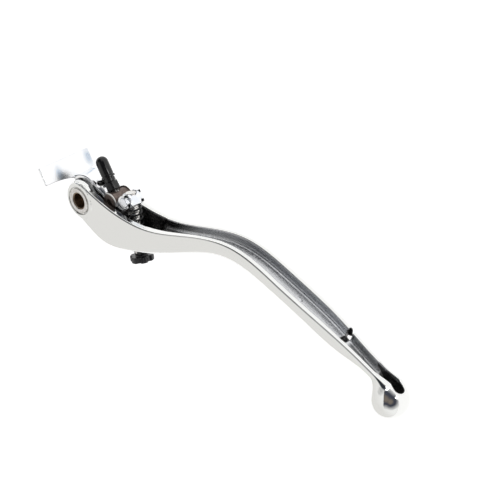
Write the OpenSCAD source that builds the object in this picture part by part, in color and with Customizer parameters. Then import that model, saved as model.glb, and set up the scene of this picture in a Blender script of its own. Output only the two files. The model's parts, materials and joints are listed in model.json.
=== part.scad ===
// Hand lever with a reach adjuster, for a hydraulic master cylinder.
//
// Frame: the origin is the centre of the pivot bore. +Z runs along the pivot, +X towards the
// ball end and +Y towards the rider's grip, the side on which the lever's channel is open.

/* [Lever blade] */
// Thickness of the blade at the pivot, along Z
root_w = 18.2; // [17.8:0.2:19]
// Outer radius of the two pivot ears
ear_r = 9.3; // [9.1:0.1:9.6]
// Width of the gap between the ears
ear_gap = 11; // [10.8:0.1:11.4]
// Diameter of the ball at the tip
ball_d = 17.5; // [16.5:0.5:19]
// Depth of the shallow channel under the rims
channel_depth = 4.2; // [3.4:0.2:5]
// Thickness of the front wall under the mechanism
front_wall = 3.4; // [3:0.2:4]

/* [Pivot] */
// Bore for the pivot bolt
bore_d = 7; // [6:0.5:7.5]
// Outer diameter of the bronze bushing
bushing_d = 8; // [8:0.1:9]
// Outer diameter of the steel sleeve
sleeve_d = 11.8; // [11.4:0.1:11.9]
// Length of the sleeve
sleeve_l = 18.8; // [18.6:0.1:19.2]

/* [Link] */
// Thickness of the link's sheet steel
sheet = 1.4; // [1.2:0.1:1.4]
// Width of the link over its two cheeks
link_w = 9.8; // [9.6:0.1:10]
// Length of the stop plate along Z
plate_l = 29; // [24:1:32]
// Height of the stop plate
plate_h = 8.6; // [6:0.2:10]

/* [Trunnion and push rod] */
// Diameter of the trunnion
trunnion_d = 8; // [7.6:0.1:8]
// Diameter of the push rod
rod_d = 4.4; // [4:0.1:4.6]
// Distance from the trunnion's centre to the cap's mouth
cap_start = 10.4; // [10.4:0.1:11]
// Length of the dust cap
cap_l = 10.2; // [8:0.2:12]
// Outer diameter of the dust cap
cap_d = 5.9; // [5.4:0.1:6.4]

/* [Reach adjuster] */
// Diameter of the adjuster screw's thread
screw_d = 5; // [4.6:0.1:5]
// Diameter of the lobed rim of the knob
knob_d = 11; // [10:0.5:13]
// Number of lobes on the knob
knob_lobes = 6; // [5:1:8]

/* [Hidden] */

fine = 64;           // facets of a round surface
run = 0.05;          // radial clearance of a running fit
snug = 0.02;         // radial clearance of a pressed or located fit
far = 60;            // reach of a cutting tool beyond the part

trunnion_at = [15.9, 5.7, 0];
nut_at = [24.8, 9.8, 0];
rod_angle = 131;     // direction of the push rod in the XY plane
screw_angle = -71.5; // direction from the adjuster nut to the knob
plate_angle = 130;   // direction in which the stop plate stands
plate_from = 12;     // distance of the plate's foot from the pivot
plate_back = 0.6;    // distance of the stop face behind a line through the pivot
plate_z0 = -7.4;     // the plate's end on the far side
face_step = 0.1;     // height of the stop face over the neck

ball_at = [191.4, -7.5, 0];

// Places along the adjuster screw, measured from the nut's centre
nut_half = 3.8;
seat_at = 18.6;
floor_at = 19.1;
washer_at = 21.6;
knob_at = 22.1;
pin_at = 24.4;
groove_at = 20.4;
rim_at = 26.5;
rim_l = 2.8;

// A smooth curve through hand-placed points, with n steps from each to the next
function between(a, b, c, d, t) = 0.5 * (2 * b + (c - a) * t + (2 * a - 5 * b + 4 * c - d) * t * t
                                         + (3 * b - a - 3 * c + d) * t * t * t);
function at(pts, i) = pts[max(0, min(len(pts) - 1, i))];
function curve(pts, n) = [for (i = [0 : len(pts) - 2], j = [0 : n - 1])
                              between(at(pts, i - 1), pts[i], pts[i + 1], at(pts, i + 2), j / n),
                          pts[len(pts) - 1]];
function reverse(list) = [for (i = [len(list) - 1 : -1 : 0]) list[i]];
function mirrored(pts) = [for (p = pts) [p.x, -p.y]];

// The edge on the rider's side, from the pivot to the ball
rear_edge = curve([[1, 8.6], [14, 5.9], [28, 4.9], [44, 6.8], [60, 12.1], [78, 19], [97, 23],
                   [125, 19.1], [155, 12.2], [180, 4.6], [191.4, 1.2]], 6);
// The edge on the finger side
front_edge = curve([[-1, -8.6], [6, -11.3], [16, -14.2], [30, -11.9], [50, -4.2], [70, 5],
                    [86, 11.6], [99, 13.4], [116, 11.3], [141, 6.2], [165, 0.8], [186, -4.6], [191.4, -9]], 6);
// Half thickness along the blade, and half width of the channel
half_w = curve([[-12, root_w / 2], [46, root_w / 2], [58, 8.3], [70, 7.3], [84, 6.9],
                [140, 7], [156, 6.2], [172, 5], [192, 4.6]], 4);
half_channel = curve([[-14, ear_gap / 2], [36, ear_gap / 2], [50, 5.1], [66, 4.5], [84, 4.2],
                      [140, 4.3], [156, 3.7], [172, 2.7], [184, 2.4]], 4);
// The channel's floor: open at the pivot, deep under the mechanism, then shallow
deep_floor = [for (p = front_edge) if (p.x > 4 && p.x < 40) p + [0, front_wall]];
shallow_floor = [for (p = rear_edge) if (p.x > 45 && p.x < 180) p - [0, channel_depth]];
notch_x = 161;       // the break notch near the tip

// ---- Shared shapes ----

// Places children with +Z along a direction that lies in the XY plane
module along(origin, angle) translate(origin) rotate([0, 0, angle]) rotate([0, 90, 0]) children();

module tube(r_out, r_in, length) difference() {
    cylinder(r = r_out, h = length, center = true, $fn = fine);
    cylinder(r = r_in, h = length + 1, center = true, $fn = fine);
}

// A wall of a side outline drawn in XY, as thick as the plan outline drawn in XZ allows
module blade_solid(side, plan) intersection() {
    linear_extrude(height = far, center = true) polygon(side);
    rotate([90, 0, 0]) linear_extrude(height = 2 * far, center = true) polygon(plan);
}

// ---- Lever ----

module channel() {
    floor_line = concat([[-14, -30], [2.5, -30], [3, -8]], deep_floor, shallow_floor,
                        [[180.5, 40], [-14, 40]]);
    blade_solid(floor_line, concat(half_channel, reverse(mirrored(half_channel))));
}

// The cut across the channel at which the tip breaks off in a fall
module break_notch() translate([notch_x, 9, -0.9]) rotate([0, 0, -15])
    cube([3.2, 9.6, 9], center = true);

// The slot that the channel runs into on the ball, with a round end and a sloping start
module ball_slot() intersection() {
    linear_extrude(height = far, center = true)
        polygon([[181, 1], [186.5, -6], [200, -6], [200, 20], [181, 20]]);
    translate([0, 0, -0.5]) rotate([-90, 0, 0]) linear_extrude(height = far, center = true) {
        translate([180, -2.5]) square([14.8, 5]);
        translate([194.8, 0]) circle(r = 2.5, $fn = fine);
    }
}

module ear_boss() difference() {
    cylinder(r = 8.5, h = root_w + 0.4, center = true, $fn = fine);
    cylinder(r = 3, h = root_w, center = true, $fn = fine);
}

module lever_body() color("gainsboro") difference() {
    union() {
        blade_solid(concat(rear_edge, reverse(front_edge)),
                    concat(half_w, reverse(mirrored(half_w))));
        cylinder(r = ear_r, h = root_w, center = true, $fn = fine);
        ear_boss();
        translate(ball_at) sphere(d = ball_d, $fn = fine);
    }
    channel();
    break_notch();
    ball_slot();
    // Room for the link's hub
    cylinder(r = 11.6, h = ear_gap, center = true, $fn = fine);
    // The sleeve's seat in both ears, relieved at the outer faces
    cylinder(r = sleeve_d / 2 + snug, h = far, center = true, $fn = fine);
    for (side = [-1, 1])
        translate([0, 0, side * (root_w / 2 + 0.2)])
            cylinder(r = sleeve_d / 2 + 0.6, h = 1, center = true, $fn = fine);
    // The adjuster's bore, its flat for the spring seat and its flat for the knob
    along(nut_at, screw_angle) {
        cylinder(r = 3.2, h = 26, $fn = fine);
        translate([0, 0, 6]) cylinder(r = 4.6, h = floor_at - 6, $fn = fine);
        translate([0, 0, washer_at]) cylinder(r = 5, h = 10, $fn = fine);
    }
}

module pivot_sleeve() color("silver") tube(sleeve_d / 2, bushing_d / 2 + snug, sleeve_l);

module pivot_bushing() color("peru") tube(bushing_d / 2, bore_d / 2, sleeve_l - 0.8);

module thrust_washers() color("silver")
    for (side = [-1, 1])
        translate([0, 0, side * (link_w / 2 + ear_gap / 2) / 2])
            tube(8.2, sleeve_d / 2 + 0.1, ear_gap / 2 - link_w / 2 - 0.1);

// ---- Link ----

module cheek_outline() {
    circle(r = 8.7, $fn = fine);
    // The sector that carries the web
    intersection() {
        circle(r = 11.1, $fn = fine);
        polygon([[0, 0], [9, 9.6], [4, 16], [-16, 16], [-14.5, 10.8]]);
    }
    // The arm to the adjuster nut, with a horn on the pivot's side of the trunnion
    polygon([[-1, -8.6], [9, -7.2], [17, -0.8], [25.5, 6.4], [28, 9.8], [24.8, 13], [21.4, 10.4],
             [20.2, 7.4], [13, 6.6], [13, 9.4], [11.6, 11.2], [9.4, 10.8], [8, 9.6], [2, 8.6]]);
    translate([nut_at.x, nut_at.y]) circle(r = 3.3, $fn = fine);
}

module cheek() linear_extrude(height = sheet) difference() {
    cheek_outline();
    circle(r = 7 + snug, $fn = fine);
    // The saddle is open at the top. The rod and its nut pass between the cheeks.
    translate([trunnion_at.x, trunnion_at.y]) circle(r = trunnion_d / 2 + run, $fn = fine);
    translate([nut_at.x, nut_at.y]) circle(r = 2.3 + run, $fn = fine);
}

// The web over the pivot that joins the two cheeks
module web() linear_extrude(height = link_w, center = true) intersection() {
    difference() {
        circle(r = 11.1, $fn = fine);
        circle(r = 11.1 - sheet, $fn = fine);
    }
    polygon([[0, 0], [9, 19], [-20, 19], [-14.5, 10.8]]);
}

// The neck and the gusset lie a little below the plate's face, which alone meets its stop
module stop_plate() rotate([0, 0, plate_angle]) translate([0, plate_back, 0]) {
    translate([plate_from, 0, plate_z0]) cube([plate_h, sheet, plate_l]);
    translate([9.8, face_step, -link_w / 2])
        cube([plate_from - 9.3, sheet - face_step, link_w]);
    translate([0, face_step, 0]) rotate([-90, 0, 0]) linear_extrude(height = sheet - face_step)
        polygon([[plate_from + 0.5, -16], [plate_from + 0.5, 4], [10.3, 4.9], [10.3, -4.9]]);
}

module link_bracket() color("whitesmoke") {
    for (z = [-link_w / 2, link_w / 2 - sheet]) translate([0, 0, z]) cheek();
    web();
    stop_plate();
}

module link_bushing() color("darkgray") tube(7, sleeve_d / 2 + run, link_w - 0.1);

// ---- Trunnion and push rod ----

module trunnion() color("dimgray") difference() {
    translate(trunnion_at) cylinder(d = trunnion_d, h = ear_gap - 0.4, center = true, $fn = fine);
    along(trunnion_at, rod_angle) cylinder(d = rod_d + 2 * run, h = 20, center = true, $fn = fine);
    for (side = [-1, 1]) translate(trunnion_at + [0, 0, side * (ear_gap / 2 - 0.2)]) {
        cylinder(d = 3, h = 1.6, center = true, $fn = fine);
        translate([0, 0, -side * 0.22]) tube(5, trunnion_d / 2 - 0.4, 0.34);
    }
}

module trunnion_clips() color("gray")
    for (side = [-1, 1])
        translate(trunnion_at + [0, 0, side * (ear_gap / 2 - 0.42)])
            tube(trunnion_d / 2 + 0.6, trunnion_d / 2 - 0.38, 0.3);

module pushrod() color("gray") along(trunnion_at, rod_angle) {
    translate([0, 0, -3.4]) cylinder(d = rod_d, h = cap_start + 5.4, $fn = fine);
    translate([0, 0, cap_start + 1.9]) cylinder(d = 3.6, h = cap_l - 4, $fn = fine);
    translate([0, 0, cap_start + cap_l - 2.2]) sphere(d = 3.6, $fn = fine);
}

module pushrod_locknut() color("black") along(trunnion_at, rod_angle) difference() {
    union() {
        translate([0, 0, 4.2]) cylinder(d = 6.9, h = 3.6, $fn = 6);
        translate([0, 0, 7.8]) cylinder(d = 6, h = 0.5, $fn = fine);
    }
    cylinder(d = rod_d + 2 * run, h = 20, $fn = fine);
}

module pushrod_collar() color("black") along(trunnion_at, rod_angle) difference() {
    translate([0, 0, 8.4]) cylinder(d = 5.3, h = cap_start - 8.5, $fn = fine);
    cylinder(d = rod_d + 2 * snug, h = 20, $fn = fine);
}

module dust_cap() color("black") along(trunnion_at, rod_angle) difference() {
    union() {
        translate([0, 0, cap_start]) cylinder(d = cap_d, h = cap_l - cap_d / 2, $fn = fine);
        translate([0, 0, cap_start + cap_l - cap_d / 2]) sphere(d = cap_d, $fn = fine);
        translate([0, 0, cap_start]) cylinder(d = cap_d + 0.5, h = 0.9, $fn = fine);
    }
    translate([0, 0, 8]) cylinder(d = rod_d + 2 * snug, h = cap_start - 8 + 2.1, $fn = fine);
    translate([0, 0, 8]) cylinder(d = 3.7, h = cap_start + cap_l - 10.2, $fn = fine);
    translate([0, 0, cap_start + cap_l - 2.2]) sphere(d = 3.7, $fn = fine);
}

// ---- Reach adjuster ----

// A block with bevelled edges, bored for the screw, that turns on two short journals
module adjuster_nut() color("silver") difference() {
    translate(nut_at) rotate([0, 0, screw_angle]) {
        difference() {
            cube([2 * nut_half, 6, link_w - 2 * sheet - 0.4], center = true);
            for (a = [0, 90, 180, 270])
                rotate([a, 0, 0]) translate([nut_half, 0, a % 180 == 0 ? 3.2 : 3])
                    rotate([0, 45, 0]) cube([1.4, 20, 1.4], center = true);
        }
        cylinder(r = 2.3, h = link_w + 0.6, center = true, $fn = fine);
    }
    along(nut_at, screw_angle) cylinder(d = screw_d + 0.2, h = 20, center = true, $fn = fine);
    translate(nut_at + [0, 0, link_w / 2 + 0.3]) rotate([0, 0, 20]) cube([6, 0.8, 1.6], center = true);
}

module adjuster_screw() color("gray") along(nut_at, screw_angle) difference() {
    union() {
        translate([0, 0, -3.4]) cylinder(d = screw_d, h = 30.4, $fn = fine);
        translate([0, 0, floor_at + 0.3]) cylinder(r = 3.1, h = knob_at - floor_at - 0.3, $fn = fine);
    }
    // The groove for the O-ring
    translate([0, 0, groove_at]) tube(5, 2.6, 1.2);
    translate([0, 0, pin_at]) rotate([0, 90, 0]) cylinder(r = 0.77, h = 12, center = true, $fn = fine);
}

module adjuster_knob() color("black") along(nut_at, screw_angle) difference() {
    union() {
        translate([0, 0, knob_at]) cylinder(r1 = 3.5, r2 = 2.9, h = rim_at - knob_at, $fn = fine);
        translate([0, 0, rim_at]) difference() {
            cylinder(d = knob_d, h = rim_l, $fn = fine);
            for (i = [0 : knob_lobes - 1])
                rotate([0, 0, (i + 0.5) * 360 / knob_lobes])
                    translate([knob_d / 2 + 0.9, 0, -1]) cylinder(r = 1.8, h = rim_l + 2, $fn = fine);
        }
    }
    cylinder(d = screw_d + 2 * snug, h = 27.1, $fn = fine);
    translate([0, 0, pin_at]) rotate([0, 90, 0]) cylinder(r = 0.77, h = 12, center = true, $fn = fine);
}

module knob_pin() color("silver") along(nut_at, screw_angle) translate([0, 0, pin_at])
    rotate([0, 90, 0]) cylinder(r = 0.75, h = 6, center = true, $fn = fine);

module knob_washer() color("silver") along(nut_at, screw_angle)
    translate([0, 0, (washer_at + knob_at) / 2]) tube(4.6, 3.3, knob_at - washer_at - 0.04);

module screw_o_ring() color("black") along(nut_at, screw_angle)
    translate([0, 0, groove_at]) rotate_extrude($fn = fine) translate([2.9, 0]) circle(r = 0.27, $fn = 24);

module spring_seat() color("silver") along(nut_at, screw_angle)
    translate([0, 0, (seat_at + floor_at) / 2]) tube(4.4, 2.9, floor_at - seat_at - 0.04);

// The compression spring: a round wire swept along a helix
spring_turns = 6;
spring_steps = 18;
spring_sides = 8;
spring_r = 3.5;
wire_r = 0.42;
spring_from = nut_half + wire_r + 0.05;
spring_to = seat_at - wire_r - 0.05;
spring_n = spring_turns * spring_steps;
function wire_point(i, k) = let (turn = 360 * i / spring_steps, around = 360 * k / spring_sides,
                                 r = spring_r + wire_r * cos(around))
    [r * cos(turn), r * sin(turn),
     spring_from + (spring_to - spring_from) * i / spring_n + wire_r * sin(around)];

module adjuster_spring() color("dimgray") along(nut_at, screw_angle) polyhedron(
    points = [for (i = [0 : spring_n], k = [0 : spring_sides - 1]) wire_point(i, k)],
    faces = concat(
        [[for (k = [0 : spring_sides - 1]) k]],
        [for (i = [0 : spring_n - 1], k = [0 : spring_sides - 1])
            let (a = i * spring_sides, b = a + spring_sides, next = (k + 1) % spring_sides)
            [a + k, b + k, b + next, a + next]],
        [[for (k = [spring_sides - 1 : -1 : 0]) spring_n * spring_sides + k]]));

lever_body();
pivot_sleeve();
pivot_bushing();
thrust_washers();
link_bracket();
link_bushing();
trunnion();
trunnion_clips();
pushrod();
pushrod_locknut();
pushrod_collar();
dust_cap();
adjuster_nut();
adjuster_screw();
adjuster_knob();
knob_pin();
knob_washer();
screw_o_ring();
adjuster_spring();
spring_seat();
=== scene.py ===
import json
import math

import bmesh
import bpy
import numpy as np
from mathutils import Matrix, Vector

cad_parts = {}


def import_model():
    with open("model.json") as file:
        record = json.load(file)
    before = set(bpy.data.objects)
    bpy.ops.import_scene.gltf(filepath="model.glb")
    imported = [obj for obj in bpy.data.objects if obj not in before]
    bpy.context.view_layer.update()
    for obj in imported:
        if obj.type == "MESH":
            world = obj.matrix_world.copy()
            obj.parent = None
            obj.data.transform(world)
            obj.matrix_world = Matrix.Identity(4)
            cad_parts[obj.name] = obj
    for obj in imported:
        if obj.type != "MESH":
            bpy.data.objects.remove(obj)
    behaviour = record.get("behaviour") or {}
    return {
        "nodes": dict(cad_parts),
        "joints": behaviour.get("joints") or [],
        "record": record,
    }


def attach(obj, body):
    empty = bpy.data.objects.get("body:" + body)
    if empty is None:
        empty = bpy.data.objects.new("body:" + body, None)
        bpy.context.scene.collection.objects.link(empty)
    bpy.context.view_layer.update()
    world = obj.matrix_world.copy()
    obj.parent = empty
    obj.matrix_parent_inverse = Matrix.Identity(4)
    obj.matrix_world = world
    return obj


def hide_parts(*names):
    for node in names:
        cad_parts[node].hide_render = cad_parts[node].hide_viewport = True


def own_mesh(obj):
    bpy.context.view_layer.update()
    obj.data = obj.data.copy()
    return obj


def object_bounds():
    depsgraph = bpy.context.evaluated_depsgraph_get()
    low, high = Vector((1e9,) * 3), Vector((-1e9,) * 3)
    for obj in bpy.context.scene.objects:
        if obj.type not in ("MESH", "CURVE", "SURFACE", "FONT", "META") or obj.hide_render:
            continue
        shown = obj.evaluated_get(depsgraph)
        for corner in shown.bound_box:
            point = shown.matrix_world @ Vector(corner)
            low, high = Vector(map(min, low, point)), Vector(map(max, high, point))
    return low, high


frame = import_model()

cad_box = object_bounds()

# Shapes are worked out in millimetres in the row's frame: the origin is the pivot bore's centre,
# +Z runs along the pivot, +X towards the ball and +Y towards the rider's grip.
MM = 0.001
record = frame["record"]
joints = {j["name"]: j for j in frame["joints"]}
body_of_node = {n: b for b, ns in record["behaviour"]["bodies"].items() for n in ns}


def unit(v):
    v = np.array(v, float)
    return v / np.linalg.norm(v)


pivot_at = np.zeros(3)
pivot_axis = np.array([0.0, 0.0, 1.0])
trunnion_at = np.array(joints["trunnion_swivel"]["pos_m"], float) / MM
nut_at = np.array(joints["nut_swivel"]["pos_m"], float) / MM
rod_axis = unit(joints["pushrod_travel"]["axis"])
screw_axis = -unit(joints["knob_turn"]["axis"])


def cad_points(node):
    return np.array([v.co for v in frame["nodes"][node].data.vertices], float) / MM


def measure(node, origin, axis):
    """Start, end, least and greatest radius of a CAD node about an axis."""
    points = cad_points(node) - origin
    along = points @ axis
    radius = np.linalg.norm(points - np.outer(along, axis), axis=1)
    return along.min(), along.max(), radius.min(), radius.max()


def basis(axis):
    """Two directions square to an axis, the first along -Z for an axis in the XY plane."""
    side = np.array([1.0, 0, 0]) if abs(axis[2]) > 0.9 else np.array([0, 0, -1.0])
    return side, np.cross(axis, side)


# ---- Meshes ----


def piece(node, points, faces, finish, smooth=True, normals=None, marks=None):
    """A mesh in millimetres that stands for a CAD node, rides on its body and has a finish."""
    mesh = bpy.data.meshes.new(node + "_shape")
    mesh.from_pydata((np.asarray(points) * MM).tolist(), [], [list(map(int, f)) for f in faces])
    mesh.validate()
    for name, values in (marks or {}).items():
        kind = "FLOAT" if values.ndim == 1 else "FLOAT_VECTOR"
        field = "value" if values.ndim == 1 else "vector"
        attribute = mesh.attributes.new(name, kind, "POINT")
        attribute.data.foreach_set(field, values.astype(np.float32).ravel())
    mesh.polygons.foreach_set("use_smooth", [smooth] * len(mesh.polygons))
    if normals is not None:
        mesh.normals_split_custom_set_from_vertices(normals.tolist())
    material, slot = finish
    mesh.materials.append(material)
    obj = bpy.data.objects.new(node + "_shape", mesh)
    bpy.context.scene.collection.objects.link(obj)
    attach(obj, body_of_node[node])
    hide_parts(node)
    return obj


def crisp(obj, angle=38):
    """Smooth shading with sharp edges where faces meet at more than the angle."""
    mesh = obj.data
    work = bmesh.new()
    work.from_mesh(mesh)
    bmesh.ops.remove_doubles(work, verts=work.verts, dist=1e-7)
    bmesh.ops.recalc_face_normals(work, faces=work.faces)
    limit = math.radians(angle)
    for edge in work.edges:
        if len(edge.link_faces) == 2 and edge.calc_face_angle(0) > limit:
            edge.smooth = False
    work.to_mesh(mesh)
    work.free()
    return obj


def softened(corners, radius, steps=4):
    """A closed outline with its corners rounded off."""
    corners = [np.array(c, float) for c in corners]
    outline = []
    for i, corner in enumerate(corners):
        before, after = corners[i - 1] - corner, corners[(i + 1) % len(corners)] - corner
        lengths = np.linalg.norm(before), np.linalg.norm(after)
        cut = min(radius, 0.45 * min(lengths))
        start, end = corner + before / lengths[0] * cut, corner + after / lengths[1] * cut
        for t in np.linspace(0, 1, steps + 1):
            outline.append((1 - t) ** 2 * start + 2 * t * (1 - t) * corner + t * t * end)
    return np.array(outline)


def turned(outlines, origin, axis, steps=96, thread=None, arc=360.0):
    """Closed outlines of (radius, along), turned about an axis. A thread is its start, end,
    pitch and depth."""
    side, other = basis(axis)
    points, faces = [], []
    closed = arc == 360.0
    angles = np.radians(np.linspace(0, arc, steps + (not closed), endpoint=not closed))
    for outline in outlines:
        first, n = len(points), len(outline)
        for a in angles:
            spoke = math.cos(a) * side + math.sin(a) * other
            for r, t in outline:
                if thread and thread[0] < t < thread[1] and r > 0.4:
                    wave = (t / thread[2] - a / (2 * math.pi)) % 1
                    r = r - thread[3] * (1 - abs(2 * wave - 1))
                points.append(origin + r * spoke + t * axis)
        for i in range(steps):
            j = (i + 1) % len(angles)
            for k in range(n):
                m = (k + 1) % n
                faces.append([first + i * n + k, first + j * n + k, first + j * n + m, first + i * n + m])
        if not closed:
            faces.append([first + k for k in range(n)])
            faces.append([first + steps * n + k for k in reversed(range(n))])
    return points, faces


def ring(node, origin, axis, finish, edge=0.15, **more):
    """A plain tube of the CAD node's own size, with its edges rounded."""
    start, end, inner, outer = measure(node, origin, axis)
    outline = softened([(inner, start), (outer, start), (outer, end), (inner, end)], edge)
    points, faces = turned([outline], origin, axis, **more)
    return crisp(piece(node, points, faces, finish))


# ---- Solids as distance fields, negative inside ----


def spline(*corners):
    """A smooth curve y(x) through given points, level beyond its ends."""
    x, y = np.array(corners, float).T
    gap, rise = np.diff(x), np.diff(y) / np.diff(x)
    system, target = np.eye(len(x)), np.zeros(len(x))
    for i in range(1, len(x) - 1):
        system[i, i - 1 : i + 2] = gap[i - 1], 2 * (gap[i - 1] + gap[i]), gap[i]
        target[i] = 6 * (rise[i] - rise[i - 1])
    bend = np.linalg.solve(system, target)

    def height(q):
        q = np.clip(q, x[0], x[-1])
        i = np.clip(np.searchsorted(x, q) - 1, 0, len(x) - 2)
        s, t, h = q - x[i], x[i + 1] - q, gap[i]
        curved = (bend[i] * t**3 + bend[i + 1] * s**3) / (6 * h)
        return curved + (y[i] / h - bend[i] * h / 6) * t + (y[i + 1] / h - bend[i + 1] * h / 6) * s

    return height


def lean(curve, x):
    """Cosine of the curve's slope, which turns a height over it into a distance."""
    return 1 / np.hypot(1, (curve(x + 0.05) - curve(x - 0.05)) / 0.1)


def common(a, b, r):
    """What two solids share, with a round of radius r along the new edge."""
    return np.minimum(np.maximum(a, b), -r) + np.hypot(np.maximum(a + r, 0), np.maximum(b + r, 0))


def joined(a, b, r):
    """Two solids as one, with a fillet of radius r where they meet."""
    return np.maximum(np.minimum(a, b), r) - np.hypot(np.maximum(r - a, 0), np.maximum(r - b, 0))


def less(a, b, r):
    return common(a, -b, r)


def slope(field, points, reach=0.01):
    steps = np.eye(3) * reach
    parts = [field(*(points + s).T) - field(*(points - s).T) for s in steps]
    return np.stack(parts, 1) / (2 * reach)


def settle(field, points, rounds=3):
    """Moves points onto the surface."""
    for _ in range(rounds):
        g = slope(field, points)
        away = field(*points.T) / np.maximum((g * g).sum(1), 0.25)
        points = points - g * np.clip(away, -0.4, 0.4)[:, None]
    return points


def skin(field, xs, ys, zs, place=None, relax=4):
    """Points, faces and normals of a field's surface, netted on a grid. place maps grid
    coordinates to the field's own."""
    place = place or (lambda p: p)
    shape = len(xs), len(ys), len(zs)
    nodes = np.stack(np.meshgrid(xs, ys, zs, indexing="ij"), -1).reshape(-1, 3)
    values = field(*place(nodes).T).reshape(shape)
    inside = values < 0
    total = np.zeros((shape[0] - 1, shape[1] - 1, shape[2] - 1, 3))
    count = np.zeros(total.shape[:3])
    axes = [np.asarray(a, float) for a in (xs, ys, zs)]
    crossings = []
    for axis in range(3):
        low = tuple(slice(0, -1) if k == axis else slice(None) for k in range(3))
        high = tuple(slice(1, None) if k == axis else slice(None) for k in range(3))
        cross = inside[low] != inside[high]
        share = np.where(cross, values[low] / np.where(cross, values[low] - values[high], 1), 0)
        spot = np.stack(np.meshgrid(*[a[:-1] if k == axis else a for k, a in enumerate(axes)],
                                    indexing="ij"), -1)
        wide = np.diff(axes[axis]).reshape([-1 if k == axis else 1 for k in range(3)])
        spot[..., axis] += share * wide
        spot *= cross[..., None]
        a, b = [k for k in range(3) if k != axis]
        for da in (0, 1):
            for db in (0, 1):
                part = [slice(None)] * 3
                part[a] = slice(da, da + shape[a] - 1)
                part[b] = slice(db, db + shape[b] - 1)
                total += spot[tuple(part)]
                count += cross[tuple(part)]
        crossings.append((cross, inside[low]))
    active = count > 0
    index = np.full(count.shape, -1)
    index[active] = np.arange(active.sum())
    points = place(total[active] / count[active][:, None])
    faces = []
    for axis, (cross, solid) in enumerate(crossings):
        a, b = (axis + 1) % 3, (axis + 2) % 3
        spots = np.argwhere(cross)
        keep = (spots[:, a] > 0) & (spots[:, a] < shape[a] - 1)
        keep &= (spots[:, b] > 0) & (spots[:, b] < shape[b] - 1)
        spots = spots[keep]
        outward = solid[tuple(spots.T)]
        quad = []
        for da, db in ((-1, -1), (0, -1), (0, 0), (-1, 0)):
            cell = spots.copy()
            cell[:, a] += da
            cell[:, b] += db
            quad.append(index[tuple(cell.T)])
        quad = np.stack(quad, 1)
        faces.append(np.where(outward[:, None], quad, quad[:, ::-1]))
    faces = np.concatenate(faces)
    if np.linalg.det(place(np.eye(3)) - place(np.zeros((3, 3)))) < 0:
        faces = faces[:, ::-1]
    points = settle(field, points)
    edges = np.concatenate([faces[:, [k, (k + 1) % 4]] for k in range(4)])
    degree = np.bincount(edges.ravel(), minlength=len(points))[:, None]
    for _ in range(relax):
        mean = np.zeros_like(points)
        for k in range(3):
            mean[:, k] = np.bincount(edges[:, 0], points[edges[:, 1], k], len(points))
            mean[:, k] += np.bincount(edges[:, 1], points[edges[:, 0], k], len(points))
        normal = slope(field, points)
        normal /= np.maximum(np.linalg.norm(normal, axis=1), 1e-6)[:, None]
        move = (mean / degree - points) * 0.5
        move -= normal * (move * normal).sum(1)[:, None]
        points = settle(field, points + move, 1)
    points = settle(field, points, 2)
    normal = slope(field, points)
    normal /= np.maximum(np.linalg.norm(normal, axis=1), 1e-6)[:, None]
    return points, faces, normal


def even(low, high, step):
    return np.linspace(low, high, int(round((high - low) / step)) + 1)


# ---- Materials ----


def tree(name):
    material = bpy.data.materials.new(name)
    material.use_nodes = True
    material.node_tree.nodes.clear()
    return material, material.node_tree


def node(nodes, kind, values=(), **settings):
    made = nodes.nodes.new("ShaderNode" + kind)
    for key, value in settings.items():
        setattr(made, key, value)
    for key, value in dict(values).items():
        if isinstance(value, bpy.types.NodeSocket):
            nodes.links.new(value, made.inputs[key])
        else:
            made.inputs[key].default_value = value
    return made


def blend_colours(nodes, share, a, b):
    """A colour between two as share goes from 0 to 1. Each may be a colour or a socket."""
    made = nodes.nodes.new("ShaderNodeMix")
    made.data_type = "RGBA"
    for key, value in ((0, share), (6, a), (7, b)):
        if isinstance(value, bpy.types.NodeSocket):
            nodes.links.new(value, made.inputs[key])
        else:
            made.inputs[key].default_value = value
    return made.outputs[2]


def ranged(nodes, value, low, high, out_low, out_high):
    keys = {"Value": value, "From Min": low, "From Max": high, "To Min": out_low, "To Max": out_high}
    return node(nodes, "MapRange", keys).outputs[0]


def noise(nodes, where, scale, detail=3.0, roughness=0.55):
    keys = {"Vector": where, "Scale": scale, "Detail": detail, "Roughness": roughness}
    return node(nodes, "TexNoise", keys).outputs[0]


def in_millimetres(nodes, stretch=(1, 1, 1)):
    where = node(nodes, "TexCoord").outputs["Object"]
    scale = [s / MM for s in stretch]
    return node(nodes, "Mapping", {"Vector": where, "Scale": scale}).outputs[0]


def grey(level, warm=0.0):
    return (level * (1 + warm), level, level * (1 - warm), 1)


def plain(name, colour, worn, rough, metallic=1.0, grain=0.35, bump=0.02, spots=0.9, coat=0.0):
    """A worn surface: colour goes over to worn in soft patches, and roughness and a fine grain
    vary with them. rough is the least and the greatest roughness; grain and spots are sizes of
    features in 1/mm; bump is a depth in millimetres."""
    material, nodes = tree(name)
    where = in_millimetres(nodes)
    patches = noise(nodes, where, spots, 4.0)
    fine = noise(nodes, where, grain * 10, 5.0, 0.65)
    share = ranged(nodes, patches, 0.38, 0.66, 0, 1)
    height = node(nodes, "Bump", {"Strength": 1.0, "Distance": bump * MM, "Height": fine}).outputs[0]
    shader = node(nodes, "BsdfPrincipled", {
        "Base Color": blend_colours(nodes, share, colour, worn),
        "Metallic": metallic,
        "Roughness": ranged(nodes, fine, 0.25, 0.75, *rough),
        "Normal": height,
        "Coat Weight": coat,
    })
    out = node(nodes, "OutputMaterial")
    nodes.links.new(shader.outputs[0], out.inputs[0])
    return material


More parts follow.
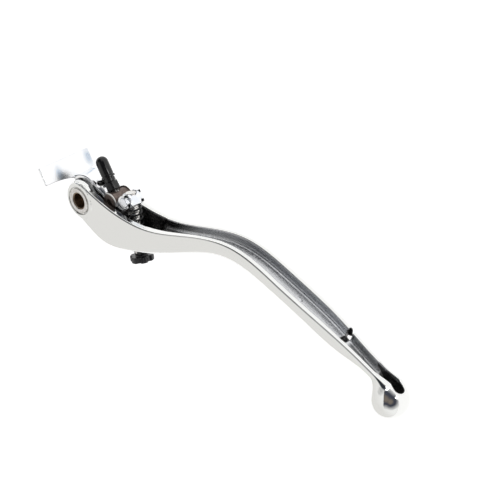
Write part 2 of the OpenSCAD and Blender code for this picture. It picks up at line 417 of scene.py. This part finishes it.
def polished_casting():
    """Polished outside, with faint lines from the buffing wheel along the blade, and left as cast in the
    channel. The mesh says which is which, gives places along the blade, and says where the painted dark edge
    lines and the painted shade go."""
    material, nodes = tree("polished_aluminium")
    along = node(nodes, "Attribute", attribute_name="along").outputs["Vector"]
    cast, painted_shade, edge = [node(nodes, "Attribute", attribute_name=name).outputs["Fac"]
                       for name in ("cast", "painted_shade", "edge")]
    lines_at = node(nodes, "Mapping", {"Vector": along, "Scale": (0.06, 2.2, 2.2)}).outputs[0]
    lines = noise(nodes, lines_at, 1.0, 4.0, 0.6)
    skin_at = node(nodes, "Mapping", {"Vector": along, "Scale": (0.35, 1.0, 1.0)}).outputs[0]
    ripple = noise(nodes, skin_at, 0.55, 3.0)
    pits = noise(nodes, along, 2.4, 5.0, 0.7)
    fine = noise(nodes, along, 9.0, 2.0)
    smooth_rough = ranged(nodes, lines, 0.3, 0.7, 0.05, 0.15)
    cast_rough = ranged(nodes, pits, 0.35, 0.7, 0.16, 0.4)
    rough = node(nodes, "Mix", {0: cast, 2: smooth_rough, 3: cast_rough}).outputs[0]
    mixed = node(nodes, "Mix", {0: cast, 2: lines, 3: pits}).outputs[0]
    depth = node(nodes, "Mix", {0: cast, 2: 0.004 * MM, 3: 0.09 * MM}).outputs[0]
    first = node(nodes, "Bump", {"Strength": 1.0, "Distance": 0.05 * MM, "Height": ripple})
    second = node(nodes, "Bump", {"Strength": 1.0, "Distance": depth, "Height": mixed,
                                  "Normal": first.outputs[0]})
    bright = blend_colours(nodes, ranged(nodes, fine, 0.3, 0.7, 0, 1),
                           (0.835, 0.84, 0.82, 1), (0.86, 0.865, 0.845, 1))
    dull = blend_colours(nodes, ranged(nodes, pits, 0.35, 0.65, 0, 1),
                         (0.60, 0.61, 0.63, 1), (0.86, 0.87, 0.88, 1))
    # Painted reflection: dark grey along the rims where the mesh's edge mark is high
    edge_lined_colour = blend_colours(nodes, edge, blend_colours(nodes, cast, bright, dull), (0.22, 0.22, 0.23, 1))
    # Painted shade: near black, a little lighter in patches, laid over the channel's hollows and the cuts
    painted_shade_colour = blend_colours(nodes, ranged(nodes, pits, 0.3, 0.7, 0, 1),
                         (0.03, 0.03, 0.032, 1), (0.2, 0.195, 0.19, 1))
    # The base colour goes over to the painted shade colour where the mesh's painted shade mark is high
    shader = node(nodes, "BsdfPrincipled", {
        "Base Color": blend_colours(nodes, painted_shade, edge_lined_colour, painted_shade_colour),
        "Metallic": 1.0,
        "Roughness": rough,
        "Normal": second.outputs[0],
    })
    out = node(nodes, "OutputMaterial")
    nodes.links.new(shader.outputs[0], out.inputs[0])
    return material


def plated_sheet():
    """Bright zinc on sheet steel, with painted dark lines for the reflections on its rounded edges, and blue
    smudges.
    """
    material, nodes = tree("zinc_sheet")
    edge, smudge = [node(nodes, "Attribute", attribute_name=name).outputs["Fac"]
                    for name in ("edge", "smudge")]
    where = in_millimetres(nodes)
    patches = noise(nodes, where, 0.25, 4.0)
    fine = noise(nodes, where, 3.5, 5.0, 0.65)
    bright = blend_colours(nodes, ranged(nodes, patches, 0.35, 0.65, 0, 1),
                           (0.97, 0.975, 0.98, 1), (0.93, 0.945, 0.96, 1))
    spot = node(nodes, "Math", {0: smudge, 1: ranged(nodes, fine, 0.3, 0.6, 0.35, 1)},
                operation="MULTIPLY").outputs[0]
    marked = blend_colours(nodes, spot, bright, (0.42, 0.50, 0.60, 1))
    height = node(nodes, "Bump", {"Strength": 1.0, "Distance": 0.012 * MM, "Height": fine}).outputs[0]
    # Painted reflection: the base colour goes dark grey along the plate's rounded edges
    shader = node(nodes, "BsdfPrincipled", {
        "Base Color": blend_colours(nodes, edge, marked, (0.20, 0.22, 0.24, 1)),
        "Metallic": 1.0,
        "Roughness": ranged(nodes, fine, 0.25, 0.75, 0.12, 0.28),
        "Normal": height,
    })
    out = node(nodes, "OutputMaterial")
    nodes.links.new(shader.outputs[0], out.inputs[0])
    return material


aluminium = polished_casting(), "cast_aluminium"
steel = plain("bright_steel", (0.78, 0.77, 0.75, 1), (0.62, 0.60, 0.57, 1), (0.14, 0.3)), "steel"
bronze = plain("oiled_bronze", (0.34, 0.25, 0.17, 1), (0.20, 0.15, 0.11, 1), (0.3, 0.55)), "bronze"
zinc = plain("zinc_plate", (0.93, 0.945, 0.96, 1), (0.80, 0.83, 0.88, 1), (0.14, 0.3),
             bump=0.02, spots=0.3), "zinc_plate"
zinc_link = plated_sheet(), "zinc_plate"
brown = plain("brown_phosphate", (0.21, 0.165, 0.145, 1), (0.13, 0.10, 0.088, 1), (0.3, 0.46),
              metallic=0.8, bump=0.02), "brown_steel"
oxide = plain("black_oxide", (0.006, 0.006, 0.0065, 1), (0.016, 0.016, 0.017, 1), (0.12, 0.3),
              metallic=0.0, bump=0.012), "black_steel"
sprung = plain("spring_steel", (0.012, 0.012, 0.013, 1), (0.03, 0.03, 0.032, 1), (0.2, 0.35),
               metallic=0.3), "spring_steel"
rubber = plain("black_rubber", (0.004, 0.004, 0.0045, 1), (0.009, 0.009, 0.01, 1), (0.1, 0.22),
               metallic=0.0, bump=0.006), "rubber"
plastic = plain("black_plastic", (0.006, 0.006, 0.0065, 1), (0.014, 0.014, 0.015, 1), (0.14, 0.3),
                metallic=0.0, bump=0.012), "black_plastic"


# ---- The lever ----

# Its edges on the rider's side and on the finger side
rear = spline((1, 8.6), (14, 5.9), (28, 4.9), (44, 6.8), (60, 12.1), (78, 19), (97, 23),
              (125, 19.1), (155, 12.2), (180, 4.6), (191.4, 1.2))
front = spline((-1, -8.6), (6, -11.3), (16, -14.2), (30, -11.9), (50, -4.2), (70, 5), (86, 11.6),
               (99, 13.4), (116, 11.3), (141, 6.2), (165, 0.8), (186, -4.6), (191.4, -9))
# Half thickness, half width of the channel, and radius of the finger side's edges
half_width = spline((-12, 9.1), (20, 9.1), (40, 9.1), (50, 8.85), (60, 8.1), (70, 7.35), (84, 6.95),
                    (112, 6.95), (140, 7), (156, 6.2), (172, 5), (192, 4.6))
half_channel = spline((-14, 5.5), (20, 5.5), (36, 5.5), (50, 5.1), (66, 4.5), (84, 4.2),
                      (112, 4.25), (140, 4.3), (156, 3.7), (172, 2.7), (184, 2.4))
front_round = spline((0, 2.2), (30, 2.8), (50, 4.2), (70, 5.8), (90, 6.2), (140, 6.2), (160, 5.2),
                     (192, 4.2))

ball_at = np.array([191.4, -7.5, 0])
ball_r = 8.75
ear_r, ear_round = 9.3, 2.5
root_half = 9.1
boss_r, boss_over = 8.5, 0.18
gap_half = 5.5
hub_room_r = 11.6
pocket_end = 43.5
front_wall = 3.4
channel_depth = 4.2
channel_end = 184
seat_r = 5.92
notch_at = np.array([161, 9, -0.9])
notch_half = np.array([1.6, 4.8, 4.5])
notch_turn = math.radians(-15)
slot_z, slot_half, slot_end, slot_floor = -0.5, 2.5, 194.8, -6
screw_flats = {"bore": 3.2, "seat": 4.6, "seat_at": 19.1, "knob": 5.0, "knob_at": 21.6}


def channel_field(x, y, z):
    """The hollow on the rider's side: shallow along the blade, deep under the mechanism."""
    wall = np.abs(z) - half_channel(x)
    shallow = common((rear(x) - channel_depth - y) * lean(rear, x), wall, 1.3)
    shallow = common(shallow, x - channel_end, 1.0)
    pocket = common((front(x) + front_wall - y) * lean(front, x), wall, 1.4)
    pocket = common(pocket, x - pocket_end, 3.2)
    hub = common(np.hypot(x, y) - hub_room_r, np.abs(z) - gap_half, 0.3)
    return np.minimum(joined(shallow, pocket, 1.3), hub)


def slot_field(x, y, z):
    """The slot on the ball, with a round end and a sloping start."""
    across = np.abs(z - slot_z)
    plan = np.where(x < slot_end, across, np.hypot(x - slot_end, across)) - slot_half
    floor = np.maximum(slot_floor, 1 - (x - 181) * 7 / 5.5)
    return np.maximum(common(plan, (floor - y) * 0.8, 0.5), 180 - x)


def notch_field(x, y, z):
    c, s = math.cos(notch_turn), math.sin(notch_turn)
    x, y = x - notch_at[0], y - notch_at[1]
    along, across = c * x + s * y, c * y - s * x
    box = np.maximum(np.abs(along) - notch_half[0], np.abs(across) - notch_half[1])
    return np.maximum(box, np.abs(z - notch_at[2]) - notch_half[2])


def lever_field(x, y, z):
    radius = np.hypot(x, y)
    blade = common((y - rear(x)) * lean(rear, x), np.abs(z) - half_width(x), 0.8)
    blade = common(blade, (front(x) - y) * lean(front, x), front_round(x))
    blade = np.maximum(common(blade, -2.6 - x, ear_round), x - ball_at[0])
    ear = common(radius - ear_r, np.abs(z) - root_half, ear_round)
    solid = joined(blade, ear, 0.6)
    solid = joined(solid, np.maximum(radius - boss_r, solid - boss_over), 0.12)
    ball = np.sqrt((x - ball_at[0]) ** 2 + (y - ball_at[1]) ** 2 + z * z) - ball_r
    solid = joined(solid, ball, 4.5)
    solid = less(solid, channel_field(x, y, z), 0.55)
    solid = less(solid, slot_field(x, y, z), 0.45)
    solid = less(solid, notch_field(x, y, z), 0.3)
    # Marks of the ejector pins on the channel's floor
    for mark_x, mark_z in ((133.1, 0.3), (171.5, -0.4)):
        pin = np.hypot(x - mark_x, z - mark_z) - 1.3
        over = y - rear(x) + channel_depth
        solid = joined(solid, common(pin, np.abs(over + 0.7) - 1.0, 0.15), 0.15)
    # The sleeve's seat, relieved at the outer faces
    solid = less(solid, radius - seat_r, 0.15)
    solid = less(solid, np.maximum(radius - seat_r - 0.6, 8.55 - np.abs(z)), 0.15)
    # The adjuster's bore and its flats
    t = (x - nut_at[0]) * screw_axis[0] + (y - nut_at[1]) * screw_axis[1]
    off = np.hypot((x - nut_at[0]) * screw_axis[1] - (y - nut_at[1]) * screw_axis[0], z)
    solid = less(solid, np.maximum(off - screw_flats["bore"], 6 - t), 0.2)
    solid = less(solid, np.maximum(off - screw_flats["seat"],
                                   np.maximum(t - screw_flats["seat_at"], 6 - t)), 0.3)
    return less(solid, np.maximum(off - screw_flats["knob"], screw_flats["knob_at"] - t), 0.3)


def middle(x):
    return (rear(x) + front(x)) / 2


def lever():
    xs = np.concatenate([even(-10.2, 50, 0.42), even(51, 150, 0.9), even(150.6, 201, 0.42)])
    points, faces, normal = skin(lever_field, xs, even(-14, 14, 0.4), even(-9.8, 9.8, 0.4),
                                 lambda p: np.stack([p[:, 0], p[:, 1] + middle(p[:, 0]), p[:, 2]], 1))
    x, y, z = points.T
    channel, cuts = channel_field(x, y, z), np.minimum(slot_field(x, y, z), notch_field(x, y, z))
    depth, side = (rear(x) - y) * lean(rear, x), np.abs(z)
    # Painted reflection: dark lines along the rims' outer and inner edges, stronger on the far side
    outer = 1 - np.hypot(depth - 0.35, half_width(x) - side - 0.15) / 0.4
    inner = 1 - np.hypot(depth - 0.2, side - half_channel(x) - 0.2) / 0.4
    edge = np.where(z < 0, 0.95, 0.55) * np.clip(outer, 0, 1) + 0.6 * np.clip(inner, 0, 1)
    # Painted shade: thick under the mechanism and in the cuts, thin along the channel's walls, and at half
    # strength in the channel beyond the notch
    painted_shade = 0.93 * np.clip((62 - x) / 14, 0, 1)
    wall = 0.5 * np.clip(1 - (half_channel(x) - side) / 1.2, 0, 1) * np.clip((150 - x) / 70, 0, 1)
    tip = 0.45 * np.clip((x - 163) / 2, 0, 1)
    painted_shade = np.maximum(np.maximum(painted_shade, wall), tip) * np.clip(1 - channel / 0.3, 0, 1)
    painted_shade = np.maximum(painted_shade, 0.96 * np.clip(1 - cuts / 0.25, 0, 1))
    painted_shade *= np.clip((depth - 0.5) / 0.6, 0, 1)
    cast = np.clip(1 - np.minimum(channel, cuts) / 0.4, 0, 1)
    # Marks: the cast finish, painted shade, painted dark edge lines, and places along the blade
    piece("lever_body", points, faces, aluminium, normals=normal,
          marks={"cast": cast, "painted_shade": painted_shade, "edge": np.where(x < 188, edge, 0),
                 "along": np.stack([x, y - middle(x), z], 1)})


lever()

# ---- The pivot ----

ring("pivot_sleeve", pivot_at, pivot_axis, steel, edge=0.35, steps=128)
ring("pivot_bushing", pivot_at, pivot_axis, bronze, edge=0.25, steps=128)
ring("link_bushing", pivot_at, pivot_axis, steel, edge=0.15, steps=128)


def paired_rings(node, origin, finish, edge, **more):
    """Two equal rings, one at each side."""
    start, end, inner, outer = measure(node, origin, pivot_axis)
    heights = cad_points(node)[:, 2] - origin[2]
    inside = heights[heights > 0].min()
    outlines = []
    for side in (1, -1):
        corners = [(inner, side * inside), (outer, side * inside), (outer, side * end), (inner, side * end)]
        outlines.append(softened(corners[::side], edge))
    points, faces = turned(outlines, origin, pivot_axis, **more)
    return crisp(piece(node, points, faces, finish))


paired_rings("thrust_washers", pivot_at, steel, 0.08)
paired_rings("trunnion_clips", trunnion_at, steel, 0.06, arc=318.0)

# ---- The link ----

plate = next(m for m in record["mounts"] if m["name"] == "stop_face")
face_out = unit(plate["axis"])
plate_up = np.cross(face_out, pivot_axis)
if plate_up[1] < 0:
    plate_up = -plate_up
sheet = 1.4
link_half = 4.9


def polygon_field(corners, x, y):
    """Distance to a closed outline, negative inside."""
    corners = np.array(corners, float)
    nearest, inside = np.full(x.shape, 1e9), np.zeros(x.shape, bool)
    for a, b in zip(corners, np.roll(corners, -1, 0)):
        edge = b - a
        px, py = x - a[0], y - a[1]
        t = np.clip((px * edge[0] + py * edge[1]) / (edge @ edge), 0, 1)
        nearest = np.minimum(nearest, np.hypot(px - t * edge[0], py - t * edge[1]))
        if a[1] != b[1]:
            crosses = (a[1] > y) != (b[1] > y)
            inside ^= crosses & (px < edge[0] * (y - a[1]) / edge[1])
    return np.where(inside, -nearest, nearest)


web_r = 11.1
saddle_r = 4.05
plate_low = cad_points("link_bracket")
plate_z = plate_low[:, 2].min(), plate_low[:, 2].max()
foot, plate_h = 12.0, 8.6
plate_back = float(np.array(plate["pos_m"]) @ face_out / MM)


def link_field(x, y, z):
    radius, level = np.hypot(x, y), np.abs(z)
    # The two cheeks, with a sector under the web and an arm to the nut
    wedge = polygon_field([(0, 0), (9, 9.6), (4, 16), (-16, 16), (-14.5, 10.8)], x, y)
    sector = common(radius - web_r, wedge, 0.4)
    arm = polygon_field([(-1, -8.6), (9, -7.2), (17, -0.8), (25.5, 6.4), (28, 9.8), (24.8, 13),
                         (21.4, 10.4), (20.2, 7.4), (13, 6.6), (13, 9.4), (11.6, 11.2),
                         (9.4, 10.8), (8, 9.6), (2, 8.6)], x, y)
    outline = joined(np.minimum(radius - 8.7, sector), arm, 1.0)
    outline = joined(outline, np.hypot(x - nut_at[0], y - nut_at[1]) - 3.3, 1.0)
    outline = less(outline, radius - 7.02, 0.1)
    outline = less(outline, np.hypot(x - trunnion_at[0], y - trunnion_at[1]) - saddle_r, 0.4)
    outline = less(outline, np.hypot(x - nut_at[0], y - nut_at[1]) - 2.35, 0.1)
    cheek = common(outline, np.abs(level - link_half + sheet / 2) - sheet / 2, 0.28)
    # The web over the pivot, and the stop plate with its neck and gusset
    web = common(np.abs(radius - web_r + sheet / 2) - sheet / 2,
                 polygon_field([(0, 0), (9, 19), (-20, 19), (-14.5, 10.8)], x, y), 0.28)
    web = common(web, level - link_half, 0.28)
    up = x * plate_up[0] + y * plate_up[1]
    depth = x * face_out[0] + y * face_out[1] - plate_back
    slab = np.abs(depth + sheet / 2) - sheet / 2
    plate_side = np.abs(up - foot - plate_h / 2) - plate_h / 2
    plate_side = common(plate_side, np.abs(z - sum(plate_z) / 2) - (plate_z[1] - plate_z[0]) / 2, 0.3)
    neck = common(np.abs(up - 11.4) - 1.6, level - link_half, 0.3)
    gusset = polygon_field([(foot + 0.5, 16), (foot + 0.5, -4), (10.3, -4.9), (10.3, 4.9)], up, z)
    flat = joined(joined(plate_side, neck, 0.8), gusset, 0.8)
    stop = common(flat, slab, 0.22)
    return joined(joined(cheek, web, 0.9), stop, 0.9)


def link():
    """The net lies square to the stop plate, so that its long edges stay straight."""
    turn = np.stack([plate_up, face_out, pivot_axis])
    points, faces, normal = skin(link_field, even(-17.5, 21.2, 0.3), even(-12, 27.6, 0.3),
                                 even(plate_z[0] - 0.7, plate_z[1] + 0.7, 0.3), lambda p: p @ turn)
    up, out = points @ plate_up, points @ face_out - plate_back
    # Painted reflection: dark lines where the normal turns away from the plate's faces, on the plate only
    straight = np.abs(np.stack([normal @ plate_up, normal @ face_out, normal[:, 2]])).max(0)
    edge = np.clip((0.97 - straight) / 0.2, 0, 1) * np.clip((up - foot + 0.4) / 0.5, 0, 1)
    smudge = np.zeros(len(points))
    for high, z, size in ((14.7, 12.5, 2.2), (16.6, -5.8, 2.4)):
        spread = np.hypot((up - high) * 0.6, points[:, 2] - z) / size
        smudge = np.maximum(smudge, np.clip(1.3 - spread, 0, 1) * (np.abs(out) < 0.3))
    piece("link_bracket", points, faces, zinc_link, normals=normal, marks={"edge": edge, "smudge": smudge})


link()

# ---- The trunnion and the push rod ----


def trunnion():
    half = (cad_points("trunnion")[:, 2].max() - cad_points("trunnion")[:, 2].min()) / 2
    radius = 4.0

    def field(x, y, z):
        level = np.abs(z)
        dx, dy = x - trunnion_at[0], y - trunnion_at[1]
        off = np.hypot(dx, dy)
        solid = common(off - radius, level - half, 0.25)
        groove = np.maximum(radius - 0.4 - off, np.abs(level - half + 0.22) - 0.17)
        solid = less(solid, groove, 0.05)
        solid = less(solid, np.maximum(off - 1.5, half - 0.8 - level), 0.2)
        aside = np.hypot(dx * rod_axis[1] - dy * rod_axis[0], z)
        return less(solid, aside - 2.25, 0.25)

    points, faces, normal = skin(field, even(trunnion_at[0] - 4.5, trunnion_at[0] + 4.5, 0.18),
                                 even(trunnion_at[1] - 4.5, trunnion_at[1] + 4.5, 0.18),
                                 even(-half - 0.5, half + 0.5, 0.18))
    piece("trunnion", points, faces, brown, normals=normal)


trunnion()


def round_bar(node, origin, axis, corners, finish, edge=0.2, thread=None, steps=96):
    """A turned bar. Its long sides are divided finely where it has a thread."""
    outline = softened(corners, edge)
    if thread:
        dense = []
        for a, b in zip(outline, np.roll(outline, -1, 0)):
            n = max(1, int(abs(b[1] - a[1]) / 0.1))
            dense += [a + (b - a) * k / n for k in range(n)]
        outline = np.array(dense)
    points, faces = turned([outline], origin, axis, thread=thread, steps=steps)
    return crisp(piece(node, points, faces, finish))


rod_from, rod_to, _, rod_r = measure("pushrod", trunnion_at, rod_axis)
cap_from, cap_to, _, cap_lip_r = measure("dust_cap", trunnion_at, rod_axis)
cap_r = cap_lip_r - 0.25
round_bar("pushrod", trunnion_at, rod_axis,
          [(0, rod_from), (rod_r, rod_from), (rod_r, cap_from + 2.1), (1.8, cap_from + 2.1),
           (1.8, rod_to - 1.5), (0.9, rod_to - 0.1), (0, rod_to)],
          steel, 0.3, (rod_from, cap_from, 0.8, 0.28))
ring("pushrod_collar", trunnion_at, rod_axis, oxide, edge=0.15)


def dust_cap():
    """A moulded rubber cap with a lip, a bead over it and a domed end."""
    dome = [(cap_r * math.cos(a), cap_to - cap_r + cap_r * math.sin(a))
            for a in np.radians(np.linspace(8, 90, 16))]
    outside = [(rod_r + 0.02, cap_from), (cap_lip_r, cap_from), (cap_lip_r, cap_from + 0.9),
               (cap_r - 0.12, cap_from + 1.1), (cap_r - 0.12, cap_from + 1.5), (cap_r, cap_from + 1.7)]
    inside = [(0, cap_to - 0.4), (1.85, cap_to - 2.2), (1.85, cap_from + 2.1), (rod_r + 0.02, cap_from + 2.1)]
    corners = np.vstack([softened(outside, 0.12)[:-1], dome, inside])
    points, faces = turned([corners], trunnion_at, rod_axis, steps=96)
    return crisp(piece("dust_cap", points, faces, rubber), 60)


dust_cap()


def locknut():
    start, end, _, corner = measure("pushrod_locknut", trunnion_at, rod_axis)
    side, other = basis(rod_axis)
    flange = 0.5

    def field(a, b, t):
        off = np.hypot(a, b)
        hexagon = np.full(a.shape, -1e9)
        for k in range(3):
            c, s = math.cos(math.radians(30 + 60 * k)), math.sin(math.radians(30 + 60 * k))
            hexagon = np.maximum(hexagon, np.abs(c * a + s * b) - corner * math.cos(math.pi / 6))
        body = common(hexagon, np.abs(t - (start + end - flange) / 2) - (end - flange - start) / 2, 0.12)
        body = common(body, off - corner + 0.25 + np.maximum(0, start + 0.5 - t) * 1.4, 0.12)
        shoulder = common(off - 3.0, np.abs(t - end + flange) - flange, 0.15)
        body = joined(body, shoulder, 0.15)
        return less(body, off - rod_r - 0.05, 0.25)

    turn = np.stack([side, other, rod_axis])
    points, faces, normal = skin(field, even(-corner - 0.5, corner + 0.5, 0.18),
                                 even(-corner - 0.5, corner + 0.5, 0.18),
                                 even(start - 0.5, end + 0.5, 0.18))
    piece("pushrod_locknut", points @ turn + trunnion_at, faces, oxide, normals=normal @ turn)


locknut()

# ---- The reach adjuster ----

screw_from, screw_to, _, _ = measure("adjuster_screw", nut_at, screw_axis)
knob_from, knob_to, _, knob_r = measure("adjuster_knob", nut_at, screw_axis)
screw_r = 2.5


def adjuster_nut():
    """A bevelled block with two journals. The near one has a screwdriver slot."""
    points = cad_points("adjuster_nut")
    journal = points[:, 2].max()
    side, other = basis(screw_axis)
    half = np.array([3.3, 3.0, 3.8])

    def field(a, b, t):
        box = common(common(np.abs(a) - half[0], np.abs(b) - half[1], 0.7), np.abs(t) - half[2], 0.7)
        edge = (np.abs(b) + np.abs(t) - half[1] - half[2] + 1.7) * 0.7071
        box = common(box, edge, 0.25)
        pin = common(np.hypot(b, t) - 2.3, np.abs(a) - journal, 0.3)
        solid = joined(box, pin, 0.2)
        c, s = math.cos(0.35), math.sin(0.35)
        slot = np.maximum(np.abs(c * b + s * t) - 0.35, -journal + 0.8 - a)
        solid = less(solid, np.maximum(slot, -journal - 1 - a), 0.1)
        return less(solid, np.hypot(a, b) - 2.6, 0.3)

    turn = np.stack([side, other, screw_axis])
    points, faces, normal = skin(field, even(-journal - 0.5, journal + 0.5, 0.18), even(-3.6, 3.6, 0.18),
                                 even(-4.4, 4.4, 0.18))
    piece("adjuster_nut", points @ turn + nut_at, faces, zinc, normals=normal @ turn)


adjuster_nut()
round_bar("adjuster_screw", nut_at, screw_axis,
          [(0, screw_from), (screw_r, screw_from), (screw_r, 19.4), (3.1, 19.4), (3.1, 19.8), (2.6, 19.9),
           (2.6, 20.9), (3.1, 21.0), (3.1, knob_from), (screw_r, knob_from), (screw_r, screw_to),
           (0, screw_to)],
          steel, 0.2, (screw_from, 19.0, 0.8, 0.3))
ring("knob_washer", nut_at, screw_axis, steel, edge=0.1)
ring("spring_seat", nut_at, screw_axis, steel, edge=0.1)
pin_along = 24.4
pin_at = nut_at + pin_along * screw_axis
pin_half = np.abs(cad_points("knob_pin")[:, 2]).max()
round_bar("knob_pin", pin_at, pivot_axis,
          [(0, -pin_half), (0.75, -pin_half), (0.75, pin_half), (0, pin_half)],
          steel, 0.15, steps=32)


def o_ring():
    start, end, inner, outer = measure("screw_o_ring", nut_at, screw_axis)
    around = np.radians(np.arange(0, 360, 20))
    outline = [((inner + outer) / 2 + (outer - inner) / 2 * math.cos(a),
                (start + end) / 2 + (end - start) / 2 * math.sin(a)) for a in around]
    points, faces = turned([outline], nut_at, screw_axis)
    piece("screw_o_ring", points, faces, rubber)


o_ring()


def knob():
    """A tapered neck and a lobed rim with grip grooves."""
    side, other = basis(screw_axis)
    lobes, rim_from = 6, 26.5
    thick = (knob_to - rim_from) / 2

    def field(a, b, t):
        off, turn = np.hypot(a, b), np.arctan2(b, a)
        neck = (off - 3.5 + (t - knob_from) / (rim_from - knob_from) * 0.6) * 0.98
        span = np.abs(t - (knob_from + knob_to - 0.5) / 2) - (knob_to - 0.5 - knob_from) / 2
        neck = common(neck, span, 0.3)
        scallop = 0.95 * np.clip(-np.cos(lobes * turn), 0, 1) ** 0.8
        scallop = scallop + 0.12 * (1 + np.cos(lobes * 5 * turn)) / 2
        top = np.abs(t - rim_from - thick) - thick
        rim = common(off - knob_r + scallop * np.clip(off / 4, 0, 1), top, 0.4)
        solid = joined(neck, rim, 0.5)
        solid = less(solid, np.maximum(off - screw_r - 0.02, t - 27.1), 0.1)
        dish = common(off - 3.4, knob_to - 0.5 - t, 0.3)
        solid = less(solid, dish, 0.25)
        pin_hole = np.hypot(t - pin_along, b) - 0.77
        return less(solid, pin_hole, 0.15)

    turn = np.stack([side, other, screw_axis])
    reach = knob_r + 0.5
    points, faces, normal = skin(field, even(-reach, reach, 0.16), even(-reach, reach, 0.16),
                                 even(knob_from - 0.5, knob_to + 0.5, 0.16))
    piece("adjuster_knob", points @ turn + nut_at, faces, plastic, normals=normal @ turn)


knob()


def spring():
    """A round wire along a helix, with its last half turns closed up."""
    side, other = basis(screw_axis)
    start, end, _, outer = measure("adjuster_spring", nut_at, screw_axis)
    wire, turns, around = 0.42, 6, 14
    middle_r = outer - wire
    steps = turns * 48
    points, faces = [], []
    for i in range(steps + 1):
        share = i / steps
        a = 2 * math.pi * turns * share
        rise = min(max((share - 0.07) / 0.86, 0), 1)
        closing = min(share / 0.07, 1) * wire * 0.5 + min((1 - share) / 0.07, 1) * wire * -0.5
        t = start + wire + (end - start - 2 * wire) * rise + closing
        spoke = math.cos(a) * side + math.sin(a) * other
        for k in range(around):
            b = 2 * math.pi * k / around
            r = middle_r + wire * math.cos(b)
            points.append(nut_at + r * spoke + (t + wire * math.sin(b)) * screw_axis)
    for i in range(steps):
        for k in range(around):
            m = (k + 1) % around
            a, b = i * around, (i + 1) * around
            faces.append([a + k, b + k, b + m, a + m])
    faces.append(list(range(around)))
    faces.append([steps * around + k for k in reversed(range(around))])
    obj = crisp(piece("adjuster_spring", points, faces, sprung), 60)
    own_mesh(obj)


spring()

# ---- Stage, light and camera ----


def stage():
    floor_gap = 0.05
    z = cad_box[0].z - floor_gap
    mesh = bpy.data.meshes.new("floor")
    reach = 3.0
    mesh.from_pydata([(-reach, -reach, z), (reach, -reach, z), (reach, reach, z), (-reach, reach, z)],
                     [], [(0, 1, 2, 3)])
    material, nodes = tree("white_sweep")
    shader = node(nodes, "BsdfPrincipled", {"Base Color": grey(0.95), "Roughness": 0.9,
                                            "Emission Color": grey(1.0), "Emission Strength": 0.62})
    out = node(nodes, "OutputMaterial")
    nodes.links.new(shader.outputs[0], out.inputs[0])
    mesh.materials.append(material)
    obj = bpy.data.objects.new("floor", mesh)
    bpy.context.scene.collection.objects.link(obj)


def world():
    """A white tent: grey on the finger side, with a dark opening on the rider's side."""
    made = bpy.data.worlds.new("tent")
    bpy.context.scene.world = made
    made.use_nodes = True
    nodes = made.node_tree
    nodes.nodes.clear()
    way = node(nodes, "TexCoord").outputs["Generated"]

    def near(direction, inner, outer):
        """1 within inner degrees of a direction and 0 beyond outer degrees."""
        keys = {0: way, 1: tuple(unit(direction))}
        dot = node(nodes, "VectorMath", keys, operation="DOT_PRODUCT").outputs["Value"]
        return ranged(nodes, dot, math.cos(math.radians(outer)), math.cos(math.radians(inner)), 0, 1)

    colour = grey(1.0)
    shaded = blend_colours(nodes, near((-0.58, -0.75, 0.3), 35, 75), colour, grey(0.84, 0.012))
    left = blend_colours(nodes, near((-0.56, 0.62, 0.56), 22, 34), shaded, (0.03, 0.032, 0.04, 1))
    over = blend_colours(nodes, near((-0.1, 0.70, 0.70), 12, 22), left, (0.05, 0.055, 0.075, 1))
    room = blend_colours(nodes, near((0.64, 0.40, 0.66), 30, 56), over, (0.055, 0.06, 0.08, 1))
    lens = blend_colours(nodes, near((0.62, 0.36, 0.70), 6, 20), room, (0.2, 0.17, 0.145, 1))
    lamp = blend_colours(nodes, near((0.774, 0.633, 0.055), 3, 6), lens, grey(14))
    back = node(nodes, "Background", {"Color": lamp, "Strength": 1.0})
    out = node(nodes, "OutputWorld")
    nodes.links.new(back.outputs[0], out.inputs[0])


def camera():
    """A long lens, turned as the photographer held it."""
    right = unit((0.6869, 0.0619, -0.7241))
    up = unit((-0.4337, 0.8344, -0.3401))
    back = np.cross(right, up)
    aim = np.array([93.3, 15.05, -7.8])
    distance, seen = 2000.0, 220.0
    data = bpy.data.cameras.new("camera")
    data.sensor_width = 36
    data.lens = data.sensor_width * distance / seen
    data.clip_start, data.clip_end = 0.1, 20
    obj = bpy.data.objects.new("camera", data)
    bpy.context.scene.collection.objects.link(obj)
    turn = Matrix([right, up, back]).transposed().to_4x4()
    obj.matrix_world = Matrix.Translation(Vector((aim + back * distance) * MM)) @ turn
    bpy.context.scene.camera = obj


stage()
world()
camera()
bpy.context.scene.view_settings.view_transform = "Standard"
